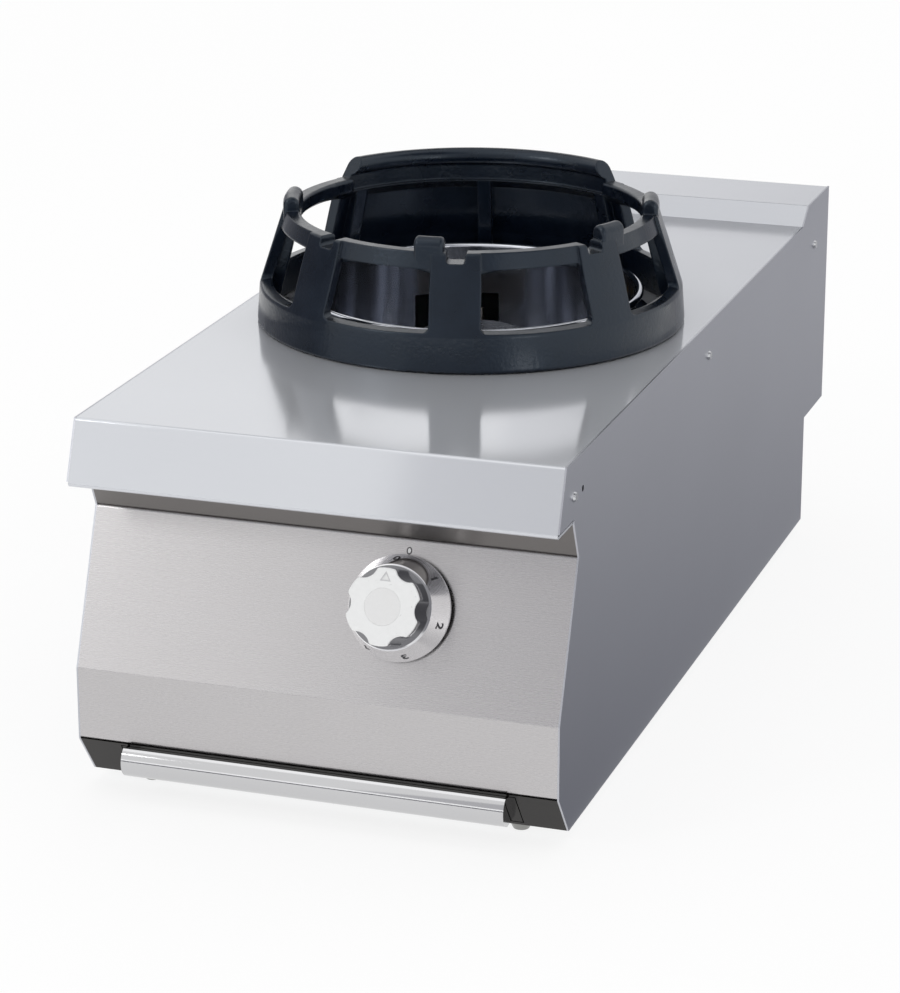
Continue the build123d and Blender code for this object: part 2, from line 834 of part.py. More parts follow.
mouth_y = inlet_face_y - mixer_length
mixer_axis = Axis((0, 0, mixer_z), (0, 1, 0))
throat_outer = mixer_throat + mixer_wall
with BuildPart() as mixing_tube:
    with BuildSketch(Plane.YZ):
        with BuildLine():
            Polyline(
                (inlet_face_y + burner_foot, mixer_z + throat_outer),
                (mouth_y + mixer_mouth * 2, mixer_z + throat_outer),
                (mouth_y + mixer_wall, mixer_z + mixer_mouth + mixer_wall),
                (mouth_y + mixer_wall, mixer_z + mixer_flange),
                (mouth_y, mixer_z + mixer_flange),
                (mouth_y, mixer_z + mixer_mouth),
                (mouth_y + mixer_mouth * 2, mixer_z + mixer_throat),
                (inlet_face_y + burner_foot, mixer_z + mixer_throat),
                close=True,
            )
        make_face()
    revolve(axis=mixer_axis)
mixing_tube.part.label = "mixing_tube"
export_step(mixing_tube.part, "parts/mixing_tube.step")

strap_y = mouth_y - injector_length - injector_gap
strap_line = (
    (-mixer_flange + sheet, mouth_y),
    (-mixer_flange + sheet, strap_y),
    (mixer_flange - sheet, strap_y),
    (mixer_flange - sheet, mouth_y),
)
with BuildPart() as injector_bracket:
    with BuildSketch(Plane.XY.offset(mixer_z - injector_radius)):
        add(folded(strap_line, Side.LEFT, injector_strap))
    extrude(amount=2 * injector_radius)
    with BuildSketch(Plane.XZ.offset(-strap_y)):
        with Locations((0, mixer_z)):
            Circle(injector_radius - injector_strap)
    extrude(amount=-injector_strap, mode=Mode.SUBTRACT)
injector_bracket.part.label = "injector_bracket"
export_step(injector_bracket.part, "parts/injector_bracket.step")

with BuildPart() as injector:
    with BuildSketch(Plane.XZ.offset(-strap_y - injector_strap)):
        with Locations((0, mixer_z)):
            RegularPolygon(injector_radius, 6)
    extrude(amount=-injector_length / 2)
    with BuildSketch(Plane.XZ.offset(-strap_y - injector_strap - injector_length / 2)):
        with Locations((0, mixer_z)):
            Circle(injector_radius * 0.7)
    extrude(amount=-injector_length / 2, taper=12)
injector.part.label = "injector"
export_step(injector.part, "parts/injector.step")

with BuildPart() as injector_holder:
    with BuildSketch(Plane.XZ.offset(-strap_y)):
        with Locations((0, mixer_z)):
            RegularPolygon(injector_radius + injector_strap, 6)
    extrude(amount=holder_length)
    with BuildSketch(Plane.XZ.offset(-strap_y)):
        with Locations((0, mixer_z)):
            Circle(injector_radius - injector_strap - run_gap)
    extrude(amount=-injector_strap)
injector_holder.part.label = "injector_holder"
export_step(injector_holder.part, "parts/injector_holder.step")

crown_radius = burner_cup_radius + 1
crown_z = cup_top_z + seat_gap
with BuildPart() as burner_crown:
    with BuildSketch(radial_plane(0)):
        with BuildLine():
            Polyline(
                (crown_radius - crown_wall, crown_z - crown_spigot),
                (burner_cup_radius - burner_cup_wall - seat_gap, crown_z - crown_spigot),
                (burner_cup_radius - burner_cup_wall - seat_gap, crown_z),
                (crown_radius, crown_z),
                (crown_radius, crown_z + crown_height),
                (crown_radius - crown_wall, crown_z + crown_height),
                close=True,
            )
        make_face()
    revolve(axis=ring_axis)
    with BuildSketch(Plane.XY.offset(crown_z + crown_height - port_depth)):
        with Locations((0, ring_y)):
            with PolarLocations(crown_radius, port_count):
                Rectangle(3 * crown_wall, port_width)
    extrude(amount=port_depth, mode=Mode.SUBTRACT)
burner_crown.part.label = "burner_crown"
export_step(burner_crown.part, "parts/burner_crown.step")

cap_z = crown_z + crown_height + seat_gap
with BuildPart() as burner_cap:
    with BuildSketch(radial_plane(0)):
        with BuildLine():
            Polyline(
                (0, cap_z - port_depth),
                (crown_radius - crown_wall - seat_gap, cap_z - port_depth),
                (crown_radius - crown_wall - seat_gap, cap_z),
                (crown_radius + cap_overhang, cap_z),
                (crown_radius + cap_overhang, cap_z + cap_rise / 2),
                (crown_radius - cap_overhang, cap_z + cap_rise),
                (0, cap_z + cap_rise),
                close=True,
            )
        make_face()
    revolve(axis=ring_axis)
burner_cap.part.label = "burner_cap"
export_step(burner_cap.part, "parts/burner_cap.step")

# ---------------------------------------------------------------------------
# Knob, in the frame of the sloping panel: heights are outwards from the panel's face
# ---------------------------------------------------------------------------

skirt_top = skirt_gap + skirt_height
knob_section_plane = Plane(
    origin=knob_plane.origin, x_dir=knob_plane.x_dir, z_dir=knob_plane.y_dir * -1
)
knob_axis = Axis(knob_plane.origin, knob_plane.z_dir)
hub_radius = 2 * spindle_radius
with BuildPart() as knob_skirt:
    with BuildSketch(knob_section_plane):
        with BuildLine():
            Polyline(
                (spindle_radius, skirt_gap + skirt_edge),
                (hub_radius, skirt_gap + skirt_edge),
                (hub_radius, skirt_top - 3 * skirt_edge),
                (skirt_top_radius - skirt_edge, skirt_top - 3 * skirt_edge),
                (skirt_radius - skirt_edge, skirt_gap),
                (skirt_radius, skirt_gap),
                (skirt_radius, skirt_gap + skirt_edge),
                (skirt_top_radius, skirt_top),
                (spindle_radius, skirt_top),
                close=True,
            )
        make_face()
    revolve(axis=knob_axis)
knob_skirt.part.label = "knob_skirt"
export_step(knob_skirt.part, "parts/knob_skirt.step")

grip_top = skirt_top + grip_height
face_seat = grip_top - face_plate
with BuildSketch() as lobes:
    Circle(grip_radius)
    with PolarLocations(scallop_offset, lobe_count):
        Circle(scallop_radius, mode=Mode.SUBTRACT)
    fillet(lobes.vertices(), radius=grip_edge)

with BuildPart() as knob_grip:
    with BuildSketch(knob_plane.offset(skirt_top)):
        Circle(skirt_top_radius - grip_inset)
    extrude(amount=grip_foot)
    with BuildSketch(knob_plane.offset(skirt_top + grip_foot)):
        add(lobes.sketch)
    extrude(amount=face_seat - skirt_top - grip_foot)
knob_grip.part.label = "knob_grip"
export_step(knob_grip.part, "parts/knob_grip.step")

with BuildPart() as knob_face:
    with BuildSketch(knob_plane.offset(face_seat)):
        add(lobes.sketch)
    extrude(amount=face_plate)
    chamfer(knob_face.faces().sort_by(knob_axis)[-1].edges(), length=face_plate / 3)
    with BuildSketch(knob_plane.offset(grip_top - disc_depth)):
        Circle(disc_radius)
    extrude(amount=disc_depth, mode=Mode.SUBTRACT)
    with BuildSketch(knob_plane.offset(grip_top)):
        with Locations((0, (grip_radius + disc_radius) / 2)):
            RegularPolygon(pointer_size, 3, rotation=90)
    extrude(amount=-pointer_depth, mode=Mode.SUBTRACT)
knob_face.part.label = "knob_face"
export_step(knob_face.part, "parts/knob_face.step")

with BuildPart() as knob_disc:
    with BuildSketch(knob_plane.offset(grip_top - disc_depth)):
        Circle(disc_radius - run_gap)
    extrude(amount=disc_depth)
knob_disc.part.label = "knob_disc"
export_step(knob_disc.part, "parts/knob_disc.step")

# ---------------------------------------------------------------------------
# Gas valve behind the panel: bush, bracket, body, turning plug, sliding spindle, magnet head
# ---------------------------------------------------------------------------

valve_front = -bracket_gap - sheet
valve_back = valve_front - valve_length
plug_back = valve_front - plug_length
with BuildPart() as spindle_bush:
    with BuildSketch(knob_plane.offset(-2 * sheet)):
        Circle(bush_radius - run_gap)
    extrude(amount=2 * sheet)
    with BuildSketch(knob_plane):
        Circle(bush_radius + bush_rim)
    extrude(amount=sheet / 2)
    with Locations(knob_plane):
        Hole(spindle_radius + run_gap)
spindle_bush.part.label = "spindle_bush"
export_step(spindle_bush.part, "parts/spindle_bush.step")

bracket_line = (
    (-bracket_width / 2, -sheet),
    (-bracket_width / 2 + bracket_gap, -sheet),
    (-bracket_width / 2 + bracket_gap, -bracket_gap),
    (bracket_width / 2 - bracket_gap, -bracket_gap),
    (bracket_width / 2 - bracket_gap, -sheet),
    (bracket_width / 2, -sheet),
)
with BuildPart() as valve_bracket:
    with BuildSketch(knob_section_plane.offset(-bracket_length / 2)):
        add(folded(bracket_line, Side.RIGHT, radius=sheet + 0.5))
    extrude(amount=bracket_length)
    with BuildSketch(knob_plane.offset(-bracket_gap)):
        Circle(spindle_radius + pass_gap)
    extrude(amount=-sheet, mode=Mode.SUBTRACT)
valve_bracket.part.label = "valve_bracket"
export_step(valve_bracket.part, "parts/valve_bracket.step")

boss_plane = knob_plane.offset(valve_front - boss_depth)
boss_centre = boss_plane.origin
with BuildPart() as valve_body:
    with BuildSketch(knob_plane.offset(valve_front)):
        Circle(valve_radius)
    extrude(amount=-valve_length)
    with BuildSketch(Plane.YZ.offset(knob_x - boss_length)):
        with Locations((boss_centre.Y, boss_centre.Z)):
            Circle(boss_radius)
    extrude(amount=2 * boss_length)
    with BuildSketch(knob_plane.offset(valve_front)):
        Circle(plug_radius + run_gap)
    extrude(amount=-plug_length, mode=Mode.SUBTRACT)
    with BuildSketch(knob_plane.offset(plug_back)):
        Circle(spindle_radius + pass_gap)
    extrude(amount=-valve_length + plug_length, mode=Mode.SUBTRACT)
valve_body.part.label = "valve_body"
export_step(valve_body.part, "parts/valve_body.step")

with BuildPart() as valve_plug:
    with BuildSketch(knob_plane.offset(valve_front - seat_gap)):
        Circle(plug_radius)
        Rectangle(2 * (spindle_radius - 1 + run_gap), 2 * (spindle_radius - 1 + run_gap), mode=Mode.SUBTRACT)
    extrude(amount=-plug_length + 2 * seat_gap)
valve_plug.part.label = "valve_plug"
export_step(valve_plug.part, "parts/valve_plug.step")

with BuildPart() as valve_spindle:
    with BuildSketch(knob_plane.offset(valve_front + push_travel + seat_gap)):
        Circle(spindle_radius)
    extrude(amount=skirt_top - valve_front - push_travel - seat_gap)
    with BuildSketch(knob_plane.offset(plug_back + push_travel + seat_gap)):
        Rectangle(2 * (spindle_radius - 1), 2 * (spindle_radius - 1))
    extrude(amount=plug_length)
valve_spindle.part.label = "valve_spindle"
export_step(valve_spindle.part, "parts/valve_spindle.step")

magnet_plane = Plane(origin=boss_centre, x_dir=(1, 0, 0), z_dir=knob_plane.y_dir * -1)
with BuildPart() as magnet_head:
    with BuildSketch(magnet_plane.offset(valve_radius)):
        Circle(magnet_radius)
    extrude(amount=magnet_length)
    with BuildSketch(magnet_plane.offset(valve_radius)):
        RegularPolygon(magnet_radius + 1.5, 6)
    extrude(amount=magnet_length / 3)
magnet_head.part.label = "magnet_head"
export_step(magnet_head.part, "parts/magnet_head.step")

# ---------------------------------------------------------------------------
# Gas pipes
# ---------------------------------------------------------------------------

supply_z = bottom_z + supply_height
supply_route = (
    (knob_x + boss_length, boss_centre.Y, boss_centre.Z),
    (supply_x, boss_centre.Y, boss_centre.Z),
    (supply_x, boss_centre.Y, supply_z),
    (supply_x, recess_y - union_inner_length, supply_z),
)
supply_pipe = pipe(supply_route, supply_radius, supply_bend, supply_bore)
supply_pipe.label = "supply_pipe"
export_step(supply_pipe, "parts/supply_pipe.step")

with BuildPart() as gas_inlet:
    with BuildSketch(Plane.XZ.offset(-recess_y)):
        with Locations((supply_x, supply_z)):
            RegularPolygon(union_hex, 6)
    extrude(amount=-union_hex_length)
    with BuildSketch(Plane.XZ.offset(-recess_y - union_hex_length)):
        with Locations((supply_x, supply_z)):
            Circle(union_thread_radius)
    extrude(amount=-union_thread_length)
    with BuildSketch(Plane.XZ.offset(-recess_y)):
        with Locations((supply_x, supply_z)):
            Circle(union_inner_radius)
    extrude(amount=union_inner_length)
    with BuildSketch(Plane.XZ.offset(-recess_y + union_inner_length)):
        with Locations((supply_x, supply_z)):
            Circle(supply_bore)
    extrude(amount=-union_inner_length - union_hex_length - union_thread_length, mode=Mode.SUBTRACT)
gas_inlet.part.label = "gas_inlet"
export_step(gas_inlet.part, "parts/gas_inlet.step")

with BuildPart() as pipe_clamp:
    with BuildSketch(Plane.XZ.offset(-front_y - clamp_setback)):
        with Locations((supply_x, supply_z)):
            Circle(supply_radius + 2 * sheet)
        with Locations(((supply_x + inner_half) / 2, supply_z)):
            Rectangle(inner_half - supply_x, 2 * sheet)
        with Locations((inner_half - sheet / 2, supply_z)):
            Rectangle(sheet, 2 * clamp_width)
        with Locations((supply_x, supply_z)):
            Circle(supply_radius + run_gap, mode=Mode.SUBTRACT)
    extrude(amount=clamp_width)
pipe_clamp.part.label = "pipe_clamp"
export_step(pipe_clamp.part, "parts/pipe_clamp.step")

feed_start = knob_plane.offset(valve_back).origin
feed_knee = knob_plane.offset(valve_back - 3 * small_bend).origin
holder_face = (0, strap_y - holder_length, mixer_z)
feed_route = (
    (feed_start.X, feed_start.Y, feed_start.Z),
    (feed_knee.X, feed_knee.Y, feed_knee.Z),
    (0, holder_face[1] - 2 * small_bend, mixer_z),
    holder_face,
)
feed_pipe = pipe(feed_route, feed_radius, small_bend)
feed_pipe.label = "feed_pipe"
export_step(feed_pipe, "parts/feed_pipe.step")

# ---------------------------------------------------------------------------
# Pilot set at the well's port, with its pipe and the thermocouple's lead
# ---------------------------------------------------------------------------


def beside_well(angle):
    """A point outside the well wall, on the pilot set's circle."""
    reach = well_radius + pilot_offset
    return (reach * cos(radians(angle)), ring_y + reach * sin(radians(angle)))


shelf_angle = (pilot_angle + probe_angle) / 2
shelf_z = port_foot_z
pilot_spot = beside_well(pilot_angle)
probe_spot = beside_well(probe_angle)
with BuildPart() as pilot_bracket:
    with BuildSketch(facing_plane(shelf_angle, well_radius + seat_gap)):
        with Locations((0, shelf_z - shelf_depth / 2)):
            Rectangle(2 * shelf_depth, shelf_depth)
    extrude(amount=sheet)
    with BuildSketch(facing_plane(shelf_angle, well_radius + seat_gap)):
        with Locations((0, shelf_z - sheet / 2)):
            Rectangle(2 * shelf_depth, sheet)
    extrude(amount=shelf_depth)
    with BuildSketch(Plane.XY.offset(shelf_z - sheet)):
        with Locations(pilot_spot):
            Circle(pilot_radius + run_gap)
        with Locations(probe_spot):
            Circle(probe_radius + run_gap)
    extrude(amount=sheet, mode=Mode.SUBTRACT)
pilot_bracket.part.label = "pilot_bracket"
export_step(pilot_bracket.part, "parts/pilot_bracket.step")

pilot_foot_z = shelf_z - pilot_height / 3
with BuildPart() as pilot_burner:
    with BuildSketch(Plane.XY.offset(pilot_foot_z)):
        with Locations(pilot_spot):
            Circle(pilot_radius)
    extrude(amount=pilot_height)
    with BuildSketch(facing_plane(pilot_angle, well_radius - pilot_offset / 2)):
        with Locations((0, pilot_foot_z + pilot_height - pilot_radius)):
            Rectangle(2 * pilot_radius, pilot_radius)
    extrude(amount=1.5 * pilot_offset)
pilot_burner.part.label = "pilot_burner"
export_step(pilot_burner.part, "parts/pilot_burner.step")

probe_foot_z = shelf_z - probe_height / 3
with BuildPart() as thermocouple:
    with BuildSketch(Plane.XY.offset(probe_foot_z)):
        with Locations(probe_spot):
            Circle(probe_radius)
    extrude(amount=probe_height)
    fillet(thermocouple.edges().group_by(Axis.Z)[-1], radius=probe_radius / 2)
thermocouple.part.label = "thermocouple"
export_step(thermocouple.part, "parts/thermocouple.step")

pilot_route = (
    (knob_x - boss_length, boss_centre.Y, boss_centre.Z),
    (pilot_inset - width / 2, boss_centre.Y, boss_centre.Z),
    (pilot_inset - width / 2, pilot_spot[1], boss_centre.Z),
    (pilot_spot[0], pilot_spot[1], boss_centre.Z),
    (pilot_spot[0], pilot_spot[1], pilot_foot_z),
)
pilot_pipe = pipe(pilot_route, pilot_pipe_radius, small_bend)
pilot_pipe.label = "pilot_pipe"
export_step(pilot_pipe, "parts/pilot_pipe.step")

lead_start = magnet_plane.offset(valve_radius + magnet_length).origin
lead_knee = magnet_plane.offset(valve_radius + magnet_length + 2 * small_bend).origin
lead_route = (
    (lead_start.X, lead_start.Y, lead_start.Z),
    (lead_knee.X, lead_knee.Y, lead_knee.Z),
    (lead_inset - width / 2, lead_knee.Y, lead_knee.Z),
    (lead_inset - width / 2, probe_spot[1], lead_knee.Z),
    (probe_spot[0], probe_spot[1], lead_knee.Z),
    (probe_spot[0], probe_spot[1], probe_foot_z),
)
thermocouple_lead = pipe(lead_route, lead_radius, small_bend)
thermocouple_lead.label = "thermocouple_lead"
export_step(thermocouple_lead, "parts/thermocouple_lead.step")

# ---------------------------------------------------------------------------
# Drip tray with its front and half-round pull, and the runners it slides on
# ---------------------------------------------------------------------------

tray_floor_height = 2 * sheet + seat_gap
tray_top_height = tray_floor_height + tray_height
tray_y = front_y + tray_setback
lip_front_y = front_y + kick_setback_at(tray_top_height) + kick_run
with BuildPart() as drip_tray:
    with BuildSketch(Plane.XY.offset(bottom_z + tray_floor_height)):
        with Locations((0, tray_y + tray_length / 2)):
            RectangleRounded(2 * tray_half, tray_length, tray_corner)
    extrude(amount=tray_height)
    with BuildSketch(Plane.XY.offset(bottom_z + tray_floor_height + tray_wall)):
        with Locations((0, tray_y + tray_length / 2)):
            RectangleRounded(2 * (tray_half - tray_wall), tray_length - 2 * tray_wall, tray_corner - tray_wall)
    extrude(amount=tray_height, mode=Mode.SUBTRACT)
    with BuildSketch(Plane.XY.offset(bottom_z + tray_top_height - tray_wall)):
        with Locations((0, (lip_front_y + tray_y + tray_length + tray_lip) / 2)):
            Rectangle(2 * (tray_half + tray_lip), tray_y + tray_length + tray_lip - lip_front_y)
        with Locations((0, tray_y + tray_length / 2)):
            RectangleRounded(
                2 * (tray_half - tray_wall),
                tray_length - 2 * tray_wall,
                tray_corner - tray_wall,
                mode=Mode.SUBTRACT,
            )
    extrude(amount=tray_wall)
drip_tray.part.label = "drip_tray"
export_step(drip_tray.part, "parts/drip_tray.step")

front_low = opening_sill + front_gap
front_high = opening_head - front_gap
tray_front_outline = (
    at(kick_setback_at(front_high), front_high),
    at(kick_setback_at(front_low), front_low),
    at(kick_setback_at(front_low) + kick_run, front_low),
    at(kick_setback_at(front_high) + kick_run, front_high),
)
with BuildPart() as tray_front:
    with BuildSketch(Plane.YZ):
        with BuildLine():
            Polyline(*tray_front_outline, close=True)
        make_face()
    extrude(amount=tray_opening - front_gap, both=True)
    with BuildSketch(Plane.XZ.offset(-front_y + panel_reach)):
        with Locations((0, bottom_z + tray_top_height - tray_wall / 2)):
            Rectangle(2 * (tray_half + tray_lip + front_gap), tray_wall + 2 * run_gap)
    extrude(amount=-2 * kick_setback, mode=Mode.SUBTRACT)
tray_front.part.label = "tray_front"
export_step(tray_front.part, "parts/tray_front.step")

pull_top = at(handle_top_setback, handle_top)
pull_nose = at(handle_nose_setback, handle_nose)
pull_foot = at(handle_foot_setback, handle_foot)
end_low = handle_foot + handle_end
with BuildPart() as tray_handle:
    with BuildSketch(Plane.YZ):
        with BuildLine():
            ThreePointArc(pull_foot, pull_nose, pull_top)
            offset(amount=sheet, side=Side.RIGHT)
        make_face()
    extrude(amount=handle_half, both=True)
    for x_low in (-handle_half, handle_half - handle_end):
        with BuildSketch(Plane.YZ.offset(x_low)):
            with BuildLine():
                ThreePointArc(pull_foot, pull_nose, pull_top)
                Polyline(
                    pull_top,
                    at(kick_setback_at(front_high), front_high),
                    at(kick_setback_at(end_low), end_low),
                    pull_foot,
                )
            make_face()
        extrude(amount=handle_end)
tray_handle.part.label = "tray_handle"
export_step(tray_handle.part, "parts/tray_handle.step")

for name, hand in (("tray_runner_left", -1), ("tray_runner_right", 1)):
    web_x = tray_half + slide_gap + sheet
    runner_line = (
        (hand * (web_x - runner_foot), bottom_z + sheet),
        (hand * web_x, bottom_z + sheet),
        (hand * web_x, bottom_z + sheet + runner_height),
    )
    with BuildPart() as runner:
        with BuildSketch(Plane.XZ.offset(-bottom_front_y)):
            add(folded(runner_line, Side.LEFT if hand > 0 else Side.RIGHT, radius=sheet + 0.2))
        extrude(amount=-(tray_length + front_flange))
    runner.part.label = name
    export_step(runner.part, f"parts/{name}.step")

# ---------------------------------------------------------------------------
# Feet, their nuts and the side screws
# ---------------------------------------------------------------------------

foot_names = ("foot_front_left", "foot_rear_left", "foot_front_right", "foot_rear_right")
for name, spot in zip(foot_names, foot_spots):
    foot_top = bottom_z + sheet + foot_above
    with BuildPart() as foot:
        with BuildSketch(Plane(origin=(*spot, 0), x_dir=(1, 0, 0), z_dir=(0, -1, 0))):
            with BuildLine():
                Polyline(
                    (0, 0),
                    (foot_tip_radius, 0),
                    (foot_head_radius, foot_stand / 2),
                    (foot_head_radius, foot_stand - seat_gap),
                    (foot_thread, foot_stand - seat_gap),
                    (foot_thread, foot_top),
                    (0, foot_top),
                    close=True,
                )
            make_face()
        revolve(axis=Axis((*spot, 0), (0, 0, 1)))
    foot.part.label = name
    export_step(foot.part, f"parts/{name}.step")

with BuildPart() as foot_nuts:
    with BuildSketch(Plane.XY.offset(bottom_z + sheet)):
        with Locations(*foot_spots):
            RegularPolygon(foot_nut, 6, major_radius=False, rotation=30)
            Circle(foot_thread + run_gap, mode=Mode.SUBTRACT)
    extrude(amount=foot_nut_height)
foot_nuts.part.label = "foot_nuts"
export_step(foot_nuts.part, "parts/foot_nuts.step")

with BuildPart() as side_screws:
    for hand in (-1, 1):
        with BuildSketch(Plane.YZ.offset(hand * width / 2)):
            with Locations(*[at(setback, screw_height) for setback in screw_setbacks]):
                Circle(screw_head)
        extrude(amount=hand * screw_rise, taper=20)
        with BuildSketch(Plane.YZ.offset(hand * width / 2)):
            with Locations(*[at(setback, screw_height) for setback in screw_setbacks]):
                Circle(screw_shank)
        extrude(amount=-hand * screw_length)
side_screws.part.label = "side_screws"
export_step(side_screws.part, "parts/side_screws.step")
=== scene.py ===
"""Looks for the counter-top gas wok range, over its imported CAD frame. Metres, front towards -Y."""

import json
import math

import bpy
from mathutils import Matrix, Vector


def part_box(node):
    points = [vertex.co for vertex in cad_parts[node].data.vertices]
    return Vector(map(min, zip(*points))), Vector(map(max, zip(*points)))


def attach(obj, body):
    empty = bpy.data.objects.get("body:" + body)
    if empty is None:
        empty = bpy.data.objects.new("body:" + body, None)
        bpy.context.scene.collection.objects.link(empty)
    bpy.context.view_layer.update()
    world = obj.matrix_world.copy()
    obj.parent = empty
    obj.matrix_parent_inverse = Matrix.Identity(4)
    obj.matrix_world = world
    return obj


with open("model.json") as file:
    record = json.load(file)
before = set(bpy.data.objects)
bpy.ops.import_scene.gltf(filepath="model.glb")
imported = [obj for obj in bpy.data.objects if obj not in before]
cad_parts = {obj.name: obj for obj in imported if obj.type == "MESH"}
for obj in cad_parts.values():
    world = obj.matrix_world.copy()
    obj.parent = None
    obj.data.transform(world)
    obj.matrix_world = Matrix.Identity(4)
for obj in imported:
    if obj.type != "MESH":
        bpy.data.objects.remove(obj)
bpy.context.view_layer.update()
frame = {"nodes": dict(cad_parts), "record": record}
nodes = frame["nodes"]
scene = bpy.context.scene


def add_object(name, data):
    """A new object in the scene that shows the given mesh, curve, lamp or camera."""
    thing = bpy.data.objects.new(name, data)
    scene.collection.objects.link(thing)
    return thing


def set_inputs(node, values):
    """Sets a node's inputs, given by name."""
    for name, value in values.items():
        node.inputs[name].default_value = value


# ---------------------------------------------------------------------------
# Material nodes
# ---------------------------------------------------------------------------


def new_material(name):
    """A node material with a Principled shader wired to its output."""
    material = bpy.data.materials.new(name)
    material.use_nodes = True
    tree = material.node_tree
    tree.nodes.clear()
    shader = tree.nodes.new("ShaderNodeBsdfPrincipled")
    output = tree.nodes.new("ShaderNodeOutputMaterial")
    tree.links.new(shader.outputs["BSDF"], output.inputs["Surface"])
    return material, tree, shader


def noise(tree, detail, size=1.0, scale=(1, 1, 1)):
    """Noise in object space, drawn out along the axes whose scale is small."""
    coords = tree.nodes.new("ShaderNodeTexCoord")
    mapping = tree.nodes.new("ShaderNodeMapping")
    texture = tree.nodes.new("ShaderNodeTexNoise")
    set_inputs(mapping, {"Scale": scale})
    set_inputs(texture, {"Scale": size, "Detail": detail})
    tree.links.new(coords.outputs["Object"], mapping.inputs["Vector"])
    tree.links.new(mapping.outputs["Vector"], texture.inputs["Vector"])
    return texture.outputs["Fac"]


def ramp(tree, value, low, high, start=0.3, end=0.7):
    """Turns a value into a colour between two ends. Most noise lies between the default ends."""
    node = tree.nodes.new("ShaderNodeValToRGB")
    first, last = node.color_ramp.elements
    first.position, first.color = start, (*low, 1.0)
    last.position, last.color = end, (*high, 1.0)
    tree.links.new(value, node.inputs["Fac"])
    return node.outputs["Color"]


def tone(color, factor):
    """A colour made lighter or darker, no channel over 1."""
    return tuple(min(1.0, channel * factor) for channel in color)


def vary(tree, value, color, low, high, socket):
    """Drives a socket between low and high times a colour, by a noise value."""
    tree.links.new(ramp(tree, value, tone(color, low), tone(color, high)), socket)


def bump(tree, shader, height, strength, distance, normal=None):
    """Lays a bump over the shader's normal and returns its output."""
    node = tree.nodes.new("ShaderNodeBump")
    set_inputs(node, {"Strength": strength, "Distance": distance})
    tree.links.new(height, node.inputs["Height"])
    if normal is not None:
        tree.links.new(normal, node.inputs["Normal"])
    tree.links.new(node.outputs["Normal"], shader.inputs["Normal"])
    return node.outputs["Normal"]


metal_bump = 0.3
scratch_fineness, scratch_length = 2600.0, 12.0  # noise scale across and along the grain
scratch_depth = 0.0000002
scratch_contrast = 0.004
cloud_fineness, cloud_contrast = 5.0, 0.03
highlight_stretch = 0.75


def steel(name, color, roughness, grain, stretch=None, metallic=1.0):
    """Brushed sheet: fine scratches along the grain axis, in a faintly cloudy colour.

    stretch is the direction in which its highlights are drawn out, across the grain.
    """
    material, tree, shader = new_material(name)
    scale = [scratch_fineness] * 3
    scale["XYZ".index(grain)] = scratch_length
    scratches = noise(tree, 3.0, scale=scale)
    clouds = noise(tree, 2.0, scale=(cloud_fineness,) * 3)
    mix = tree.nodes.new("ShaderNodeMix")
    mix.data_type = "RGBA"
    mix.blend_type = "MULTIPLY"
    set_inputs(mix, {"Factor": 1.0})
    vary(tree, scratches, color, 1 - scratch_contrast, 1 + scratch_contrast, mix.inputs["A"])
    vary(tree, clouds, (1, 1, 1), 1 - cloud_contrast, 1, mix.inputs["B"])
    tree.links.new(mix.outputs["Result"], shader.inputs["Base Color"])
    vary(tree, scratches, (roughness,) * 3, 0.95, 1.05, shader.inputs["Roughness"])
    set_inputs(shader, {"Metallic": metallic})
    bump(tree, shader, scratches, metal_bump, scratch_depth)
    if stretch is not None:
        way = tree.nodes.new("ShaderNodeCombineXYZ")
        set_inputs(way, dict(zip("XYZ", stretch)))
        set_inputs(shader, {"Anisotropic": highlight_stretch})
        tree.links.new(way.outputs["Vector"], shader.inputs["Tangent"])
    return material


def plain_metal(name, color, roughness, speck=0.04, fineness=220.0, depth=0.00003, metallic=1.0):
    """Turned, cast or plated metal with an even grain."""
    material, tree, shader = new_material(name)
    grain = noise(tree, 5.0, fineness)
    vary(tree, grain, color, 1 - speck, 1 + speck, shader.inputs["Base Color"])
    vary(tree, grain, (roughness,) * 3, 0.85, 1.2, shader.inputs["Roughness"])
    set_inputs(shader, {"Metallic": metallic})
    bump(tree, shader, grain, metal_bump, depth)
    return material


peel_fineness, peel_bump, peel_depth = 320.0, 0.8, 0.00022
swell_fineness, swell_bump, swell_depth = 38.0, 0.35, 0.0006
soft_edge_radius, soft_edge_samples = 0.0022, 6


def enamel(name, color, roughness):
    """Glassy enamel over a casting: orange peel on broad swells, and softly rounded edges."""
    material, tree, shader = new_material(name)
    peel = noise(tree, 2.0, peel_fineness)
    swell = noise(tree, 2.0, swell_fineness)
    vary(tree, swell, color, 0.8, 1.25, shader.inputs["Base Color"])
    vary(tree, swell, (roughness,) * 3, 0.8, 1.25, shader.inputs["Roughness"])
    gloss = {
        "Specular IOR Level": 0.42,
        "Specular Tint": (0.62, 0.80, 1.0, 1.0),
        "Coat Weight": 0.3,
        "Coat Roughness": 0.12,
    }
    set_inputs(shader, gloss)
    edge = tree.nodes.new("ShaderNodeBevel")
    edge.samples = soft_edge_samples
    set_inputs(edge, {"Radius": soft_edge_radius})
    swollen = bump(tree, shader, swell, swell_bump, swell_depth, edge.outputs["Normal"])
    peeled = bump(tree, shader, peel, peel_bump, peel_depth, swollen)
    tree.links.new(peeled, shader.inputs["Coat Normal"])
    return material


print_fineness, print_roughness = 900.0, 0.5


def ink(name, color):
    """Printed mark, not quite even."""
    material, tree, shader = new_material(name)
    grain = noise(tree, 2.0, print_fineness)
    vary(tree, grain, color, 0.92, 1.08, shader.inputs["Base Color"])
    vary(tree, grain, (print_roughness,) * 3, 0.9, 1.1, shader.inputs["Roughness"])
    return material


